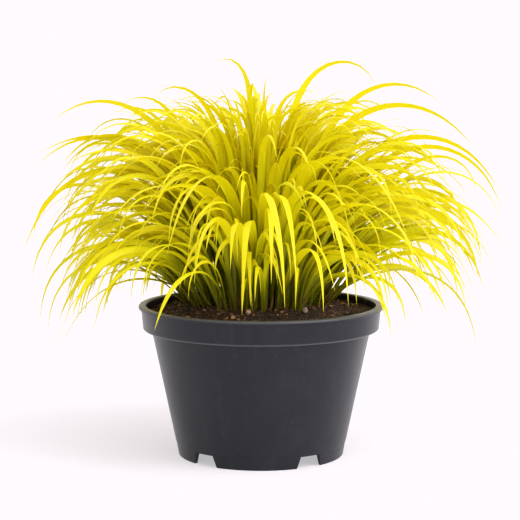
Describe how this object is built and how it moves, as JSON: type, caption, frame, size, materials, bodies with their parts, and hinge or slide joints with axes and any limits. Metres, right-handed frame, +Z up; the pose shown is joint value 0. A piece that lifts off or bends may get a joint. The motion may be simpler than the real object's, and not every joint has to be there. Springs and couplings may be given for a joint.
{
  "type": "potted ornamental grass clump",
  "caption": "Golden ornamental grass in a charcoal plastic nursery pot: a fountain of long arching yellow leaves over bark potting mix, on a notched foot ring.",
  "frame": {"origin": "on the floor, at the centre of the object's footprint, under the middle of the pot", "axes": "+Z up, -Y towards the front, +X to the right as seen from the front"},
  "size_m": [0.4902, 0.4905, 0.4128],
  "materials": {
    "charcoal_plastic": "satin charcoal, lightly scuffed",
    "potting_mix": "damp bark and coir crumbs",
    "pebble_stone": "smooth, matte",
    "grass_leaf": "thin satin leaf, lemon yellow with olive bases"
  },
  "bodies": {
    "root": {"pot": "charcoal_plastic", "soil": "potting_mix", "pebble_left": "pebble_stone", "pebble_right": "pebble_stone", "tuft_crown_01": "grass_leaf", "tuft_crown_02": "grass_leaf", "tuft_crown_03": "grass_leaf", "tuft_crown_04": "grass_leaf", "tuft_crown_05": "grass_leaf", "tuft_upper_01": "grass_leaf", "tuft_upper_02": "grass_leaf", "tuft_upper_03": "grass_leaf", "tuft_upper_04": "grass_leaf", "tuft_upper_05": "grass_leaf", "tuft_upper_06": "grass_leaf", "tuft_upper_07": "grass_leaf", "tuft_upper_08": "grass_leaf", "tuft_upper_09": "grass_leaf", "tuft_middle_01": "grass_leaf", "tuft_middle_02": "grass_leaf", "tuft_middle_03": "grass_leaf", "tuft_middle_04": "grass_leaf", "tuft_middle_05": "grass_leaf", "tuft_middle_06": "grass_leaf", "tuft_middle_07": "grass_leaf", "tuft_middle_08": "grass_leaf", "tuft_middle_09": "grass_leaf", "tuft_middle_10": "grass_leaf", "tuft_middle_11": "grass_leaf", "tuft_middle_12": "grass_leaf", "tuft_lower_01": "grass_leaf", "tuft_lower_02": "grass_leaf", "tuft_lower_03": "grass_leaf", "tuft_lower_04": "grass_leaf", "tuft_lower_05": "grass_leaf", "tuft_lower_06": "grass_leaf", "tuft_lower_07": "grass_leaf", "tuft_lower_08": "grass_leaf", "tuft_lower_09": "grass_leaf", "tuft_lower_10": "grass_leaf", "tuft_lower_11": "grass_leaf", "tuft_lower_12": "grass_leaf", "tuft_skirt_01": "grass_leaf", "tuft_skirt_02": "grass_leaf", "tuft_skirt_03": "grass_leaf", "tuft_skirt_04": "grass_leaf", "tuft_skirt_05": "grass_leaf", "tuft_skirt_06": "grass_leaf", "tuft_skirt_07": "grass_leaf", "tuft_skirt_08": "grass_leaf", "tuft_skirt_09": "grass_leaf", "tuft_skirt_10": "grass_leaf"}
  },
  "joints": []
}
